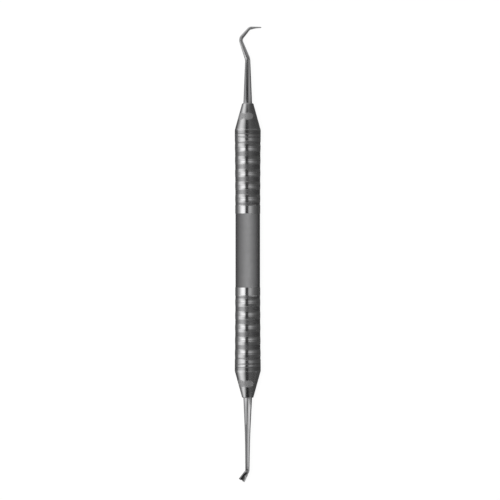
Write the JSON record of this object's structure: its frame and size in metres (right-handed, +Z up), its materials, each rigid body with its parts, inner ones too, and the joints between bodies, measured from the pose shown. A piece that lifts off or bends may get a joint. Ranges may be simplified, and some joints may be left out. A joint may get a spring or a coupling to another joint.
{
  "type": "hand scaler",
  "caption": "Double-ended dental hand scaler: waisted hollow steel handle with turned grip rings and end cones, a pointed hook at one end and a short notched foot at the other.",
  "frame": {"origin": "on the surface it lies on, under the middle of its overall length and width", "axes": "+Y along the handle towards the pointed hook, +Z up, so both working ends bend in the level plane of the handle's axis and +X is the side that the hook's point faces"},
  "size_m": [0.0098, 0.1665, 0.0095],
  "materials": {
    "handle_steel": "turned rings polished, middle band satin",
    "cone_steel": "polished, with two matte oval marks",
    "tip_steel": "ground and polished"
  },
  "bodies": {
    "root": {"handle_barrel": "handle_steel", "upper_cone": "cone_steel", "lower_cone": "cone_steel", "upper_working_end": "tip_steel", "lower_working_end": "tip_steel"}
  },
  "joints": []
}
